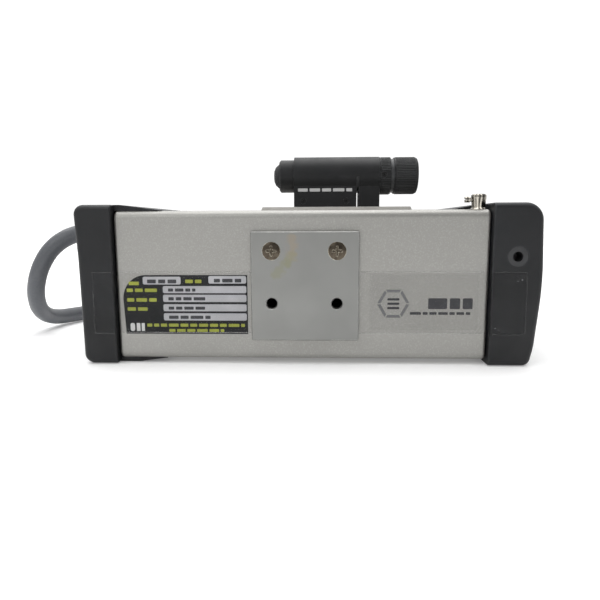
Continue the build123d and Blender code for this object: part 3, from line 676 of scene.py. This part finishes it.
def rating_label():
    """A dark type label with pale fields, whose upper left corner is one large round."""
    x0, z0 = low("rating_label").x, low("rating_label").z + 0.1
    x1, z1 = high("rating_label").x, high("rating_label").z
    outline = [(x0 + 0.7, z0), (x1, z0), (x1, z1)]
    for step in range(ROUND_STEPS + 1):
        angle = math.pi / 2 * (1 + step / ROUND_STEPS)
        outline.append((x0 + ROUND_X * (1 + math.cos(angle)), z1 - ROUND_Z * (1 - math.sin(angle))))
    face = LABEL_FACE
    base = slices("rating_plate", [outline], high("rating_label").y, face, LOOKS["label"])
    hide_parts("rating_label")
    fields = [rounded(*ROW_X, *row, 0.7) for row in ROWS]
    fields += [rounded(-71.6, -54.9, 35.0, 38.4, 0.7), rounded(-42.7, -26.2, 35.4, 38.7, 0.7)]
    top = face - PRINT_THICK
    slices("rating_fields", fields, face, top, PALE_PRINT)
    entries = [(-69.7, -56.8, 35.5, 37.6), (-40.3, -28.3, 35.9, 37.9)]
    ends = (-48.5, -43.0, -44.5, -41.5)
    entries += [(ROW_X[0] + 2.3, end, row[0] + 0.7, row[1] - 0.7) for row, end in zip(ROWS, ends)]
    blocks = [block for entry in entries for block in dashes(*entry)]
    slices("rating_entries", blocks, top, top - 0.5 * PRINT_THICK, DARK_PRINT)
    captions = [(-77.9, -73.4, 34.7, 36.6), (-52.9, -44.8, 35.6, 37.5), (-78.9, -63.8, 31.7, 33.6)]
    captions += [(-78.9, -65.8, 27.4, 29.4), (-78.9, -70.0, 23.4, 25.3)]
    captions += [(-70.5, -27.1, 16.3, 18.0), (-60.7, -36.3, 14.0, 15.6)]
    blocks = [block for caption in captions for block in dashes(*caption)]
    slices("rating_captions", blocks, face, top, LIME_PRINT)
    bars = [rounded(-78.0, -76.0, 14.3, 17.9, 0.9), rounded(-75.2, -73.6, 14.3, 17.9, 0.3)]
    bars.append(rounded(-73.0, -71.6, 14.3, 17.9, 0.3))
    slices("rating_sign", bars, face, top, WHITE_PRINT)


def maker_print():
    """A clear label with a plain hexagon sign, three bars and a line of dashes on it."""
    corner, far_corner = low("maker_label"), high("maker_label")
    back = far_corner.y - 0.02  # just off the tube's face
    face = back - CLEAR_THICK
    outline = rounded(corner.x, far_corner.x, corner.z, far_corner.z, 0.5)
    base = slices("maker_plate", [outline], back, face, CLEAR_LABEL)
    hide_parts("maker_label")
    top = LABEL_FACE - PRINT_THICK
    middle_x, middle_z, outer, inner = 37.4, 26.7, 6.9, 5.5
    sides = []
    for i in range(6):
        a, b = (math.radians(60 * i + turn) for turn in (2.5, 57.5))
        corners = [(outer, a), (outer, b), (inner, b), (inner, a)]
        sides.append([(middle_x + r * math.cos(t), middle_z + r * math.sin(t)) for r, t in corners])
    slices("maker_sign", sides, face, top, GREY_PRINT)
    bars = []
    for rise in (-2.4, -0.5, 1.4):
        z = middle_z + rise
        bars.append(rounded(middle_x - 2.6, middle_x + 2.6, z, z + 1.0, 0.4))
    bars += [rounded(52.3, 60.4, 24.4, 29.1, 0.5), rounded(61.5, 65.9, 24.4, 29.1, 0.5)]
    bars += [rounded(67.0, 71.2, 24.4, 29.1, 0.5)]
    slices("maker_bars", bars + dashes(44.6, 71.3, 21.9, 23.4), face, top, DARK_PRINT)


rating_label()
maker_print()


# --- clear film: painted highlight strips along its edges, and the bubbles under it ---------------
RIM_WIDE = 0.3
RIM_THICK = 0.03
RIM_LIFT = 0.12  # from the label's face out to the strips, just outside the film
PLATE_GAP = 0.3  # from the mounting plate's sides to the strips
BUBBLE_RISE = 0.04
FILM_STEP = (1.6, 0.3)  # from the tube's end, inwards and outwards, where the film steps onto the bumper


def film_details():
    """Thin strips along the film's free edges, painted as the highlight the edge catches: bright over the
    tube and faint over the bumpers.
    """
    # Painted highlight along the film's edges: pale strips, bright and faint.
    bright = coated("film_edge_highlight", (0.62, 0.62, 0.60), 0.3, Alpha=0.25)
    faint = coated("film_edge_highlight_faint", (0.2, 0.2, 0.2), 0.3, Alpha=0.12)
    low_corner, high_corner = low("clear_film"), high("clear_film")
    z0, z1 = low_corner.z, high_corner.z
    tube_face = LABEL_FACE - RIM_LIFT
    bumper_face = low_corner.y
    plate = low("mounting_plate").x, high("mounting_plate").x
    rear, front = low("housing_tube").x, high("housing_tube").x
    inside, outside = FILM_STEP
    spans = [(plate[1] + PLATE_GAP, front - inside, tube_face)]
    spans.append((rear + inside, plate[0] - PLATE_GAP, tube_face))
    spans.append((front + outside, high_corner.x, bumper_face))
    spans.append((low_corner.x, rear - outside, bumper_face))
    for i, (x0, x1, y) in enumerate(spans):
        strips = [rounded(x0, x1, z, z + RIM_WIDE, 0.1) for z in (z0, z1 - RIM_WIDE)]
        if i == 2:
            strips.append(rounded(x1 - RIM_WIDE, x1, z0 + RIM_WIDE, z1 - RIM_WIDE, 0.1))
        if i == 3:
            strips.append(rounded(x0, x0 + RIM_WIDE, z0 + RIM_WIDE, z1 - RIM_WIDE, 0.1))
        slices(f"film_edge_highlight_{i + 1}", strips, y, y - RIM_THICK, bright if i < 2 else faint)


def film_bubbles():
    """Flat domes of trapped air under the film on the front bumper."""
    shape = bmesh.new()
    face = low("clear_film").y
    for x, z, radius in ((80.4, 16.6, 0.3), (90.6, 37.3, 0.35), (81.6, 15.9, 0.2), (88.9, 36.7, 0.25)):
        bubble = bmesh.ops.create_uvsphere(shape, u_segments=16, v_segments=8, radius=1.0)["verts"]
        bmesh.ops.scale(shape, verts=bubble, vec=mm(radius, BUBBLE_RISE, radius))
        bmesh.ops.translate(shape, verts=bubble, vec=mm(x, face, z))
    for side in shape.faces:
        side.smooth = True
    bubble_look = Look("bubble", (0.4, 0.4, 0.42), 0.15, Alpha=0.25)
    bubble_look.bump(bubble_look.noise(0.6), 0.02)
    make_piece("film_bubbles", shape, bubble_look, "case")


film_details()
film_bubbles()

# --- pointer: print, spring and grip ribs ---------------------------------------------------------
POINTER_Z = (low("pointer_head").z + high("pointer_head").z) / 2
RIB_SKIN = coated("rib_skin", (0.018, 0.019, 0.02), 0.42, grain=0.18)
RIB_COUNT = 66
RIB_SHARE = 0.34  # half a rib's width, as a share of the step from rib to rib
RIB_FOOT = -0.1  # sunk into the turned part
RIB_ENDS = 0.35


def pointer_print():
    """A row of bars on the clamp's flat side."""
    side = -8.0
    bars = dashes(-6.0, 22.0, 77.5, 79.5)
    slices("pointer_print", bars, side, side - 0.03, WHITE_PRINT)


def ribs(name, body, x0, x1, radius, rise, skip=()):
    """Rounded ribs along X round a turned part, except near some angles."""
    shape = bmesh.new()
    half = RIB_SHARE * 2 * math.pi * radius / RIB_COUNT
    section = [(-half, RIB_FOOT), (-0.8 * half, 0.6 * rise), (-0.35 * half, rise)]
    section += [(0.35 * half, rise), (0.8 * half, 0.6 * rise), (half, RIB_FOOT)]
    for i in range(RIB_COUNT):
        angle = 360 * (i + 0.5) / RIB_COUNT
        if any(abs((angle - middle + 180) % 360 - 180) < reach for middle, reach in skip):
            continue
        turn = math.radians(angle)
        out = Vector((0, math.cos(turn), math.sin(turn)))
        across = Vector((0, -math.sin(turn), math.cos(turn)))
        rings = []
        for x, share in ((x0, 0.0), (x0 + RIB_ENDS, 1.0), (x1 - RIB_ENDS, 1.0), (x1, 0.0)):
            ring = []
            for side, up in section:
                up = RIB_FOOT + (up - RIB_FOOT) * share
                place = Vector((x, 0, POINTER_Z)) + out * (radius + up) + across * side
                ring.append(shape.verts.new(place * MM))
            rings.append(ring)
        skin(shape, rings)
    bmesh.ops.recalc_face_normals(shape, faces=shape.faces)
    make_piece(name, shape, RIB_SKIN, body)


def spring_coil():
    """The button's spring, as its own piece copied from the CAD part."""
    source = nodes["button_spring"]
    piece = link("spring_coil", source.data.copy())
    piece.matrix_world = source.matrix_world
    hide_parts("button_spring")
    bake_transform(piece)


pointer_print()
spring_coil()
ribs("head_ribs", "pointer_head", 44.3, 54.7, 9.33, 0.22)
ribs("ring_ribs", "case", 36.7, 41.8, 9.48, 0.2, skip=((90, 12), (180, 12)))  # clear of the two screws

bpy.context.view_layer.update()
